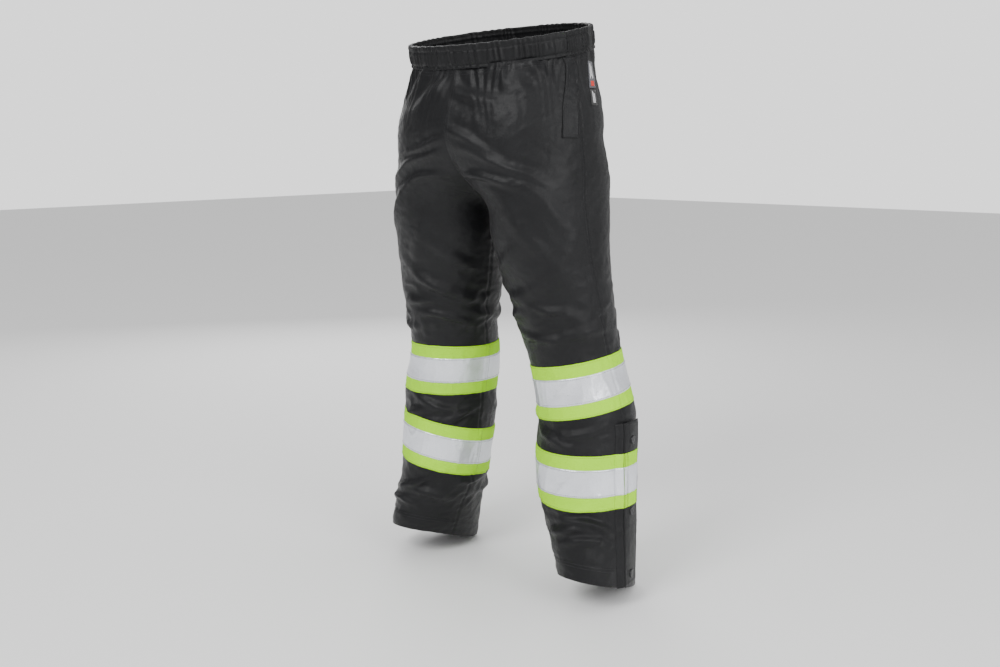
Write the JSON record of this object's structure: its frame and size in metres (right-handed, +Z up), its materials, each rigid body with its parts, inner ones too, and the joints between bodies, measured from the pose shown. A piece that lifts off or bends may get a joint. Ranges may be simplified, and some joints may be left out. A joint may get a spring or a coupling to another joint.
{
  "type": "insulated safety trousers",
  "caption": "Insulated pull-on work trousers in their worn shape: elastic waist, two bright bands with silver strips on each leg, welt pockets, and a zip under a snapped flap at each cuff.",
  "frame": {"origin": "on the ground plane, under the middle of the garment's box, level with the lowest point of the hems", "axes": "+Z up towards the waist, -Y is the wearer's front, +X is the wearer's left"},
  "size_m": [0.567, 0.325, 1.0699],
  "materials": {
    "shell_fabric": "black polyester twill with a slight sheen",
    "elastic": "woven elastic",
    "lining": "quilted black taffeta",
    "label": "woven label",
    "hivis_tape": "fluorescent lime-yellow tape",
    "reflective_tape": "silver retroreflective tape",
    "zip_tape": "woven zip tape",
    "zip_coil": "moulded coil",
    "zip_metal": "black painted zinc",
    "snap_cap": "black painted snap caps",
    "snap_metal": "plated snap parts"
  },
  "bodies": {
    "seat": {"waistband_casing": "shell_fabric", "waist_elastic": "elastic", "seat_lining": "lining", "side_label_upper": "label", "side_label_lower": "label", "front_seat_left": "shell_fabric", "front_seat_right": "shell_fabric", "back_seat_left": "shell_fabric", "back_seat_right": "shell_fabric", "pocket_welt_left": "shell_fabric", "pocket_welt_right": "shell_fabric", "pocket_bag_left": "lining", "pocket_bag_right": "lining", "hip_sleeve_left": "shell_fabric", "hip_sleeve_right": "shell_fabric"},
    "left_thigh": {"front_thigh_left": "shell_fabric", "back_thigh_left": "shell_fabric", "thigh_lining_left": "lining", "knee_sleeve_left": "shell_fabric"},
    "left_shin": {"front_shin_left": "shell_fabric", "back_shin_left": "shell_fabric", "shin_lining_left": "lining", "hivis_bands_left": "hivis_tape", "reflective_strips_left": "reflective_tape", "hem_facing_left": "shell_fabric", "zip_tape_left": "zip_tape", "zip_coil_left": "zip_coil", "flap_root_left": "shell_fabric", "snap_studs_left": "snap_metal"},
    "left_flap": {"storm_flap_left": "shell_fabric", "flap_hivis_band_left": "hivis_tape", "flap_reflective_strip_left": "reflective_tape", "snap_caps_left": "snap_cap", "snap_sockets_left": "snap_metal"},
    "left_slider": {"zip_slider_left": "zip_metal", "zip_pull_left": "zip_metal"},
    "right_thigh": {"front_thigh_right": "shell_fabric", "back_thigh_right": "shell_fabric", "thigh_lining_right": "lining", "knee_sleeve_right": "shell_fabric"},
    "right_shin": {"front_shin_right": "shell_fabric", "back_shin_right": "shell_fabric", "shin_lining_right": "lining", "hivis_bands_right": "hivis_tape", "reflective_strips_right": "reflective_tape", "hem_facing_right": "shell_fabric", "zip_tape_right": "zip_tape", "zip_coil_right": "zip_coil", "flap_root_right": "shell_fabric", "snap_studs_right": "snap_metal"},
    "right_flap": {"storm_flap_right": "shell_fabric", "flap_hivis_band_right": "hivis_tape", "flap_reflective_strip_right": "reflective_tape", "snap_caps_right": "snap_cap", "snap_sockets_right": "snap_metal"},
    "right_slider": {"zip_slider_right": "zip_metal", "zip_pull_right": "zip_metal"}
  },
  "joints": [
    {"name": "left_hip", "type": "hinge", "parent": "seat", "child": "left_thigh", "pos_m": [0.108, 0.03, 0.837], "axis": [-1, 0, 0], "range_deg": [-10, 30], "deforming": ["hip_sleeve_left"]},
    {"name": "left_knee", "type": "hinge", "parent": "left_thigh", "child": "left_shin", "pos_m": [0.142, 0.045, 0.542], "axis": [1, 0, 0], "range_deg": [0, 45], "deforming": ["knee_sleeve_left"]},
    {"name": "left_flap_hinge", "type": "hinge", "parent": "left_shin", "child": "left_flap", "pos_m": [0.27644, 0.03893, 0.18751], "axis": [0.0437, -0.0281, -0.9987], "range_deg": [0, 110]},
    {"name": "left_slider_slide", "type": "slide", "parent": "left_shin", "child": "left_slider", "axis": [-0.0437, 0.0281, 0.9987], "range_m": [0, 0.245]},
    {"name": "right_hip", "type": "hinge", "parent": "seat", "child": "right_thigh", "pos_m": [-0.108, 0.03, 0.837], "axis": [-1, 0, 0], "range_deg": [-10, 30], "deforming": ["hip_sleeve_right"]},
    {"name": "right_knee", "type": "hinge", "parent": "right_thigh", "child": "right_shin", "pos_m": [-0.142, 0.045, 0.542], "axis": [1, 0, 0], "range_deg": [0, 45], "deforming": ["knee_sleeve_right"]},
    {"name": "right_flap_hinge", "type": "hinge", "parent": "right_shin", "child": "right_flap", "pos_m": [-0.27644, 0.03893, 0.18751], "axis": [0.0437, 0.0281, 0.9987], "range_deg": [0, 110]},
    {"name": "right_slider_slide", "type": "slide", "parent": "right_shin", "child": "right_slider", "axis": [0.0437, 0.0281, 0.9987], "range_m": [0, 0.245]}
  ]
}
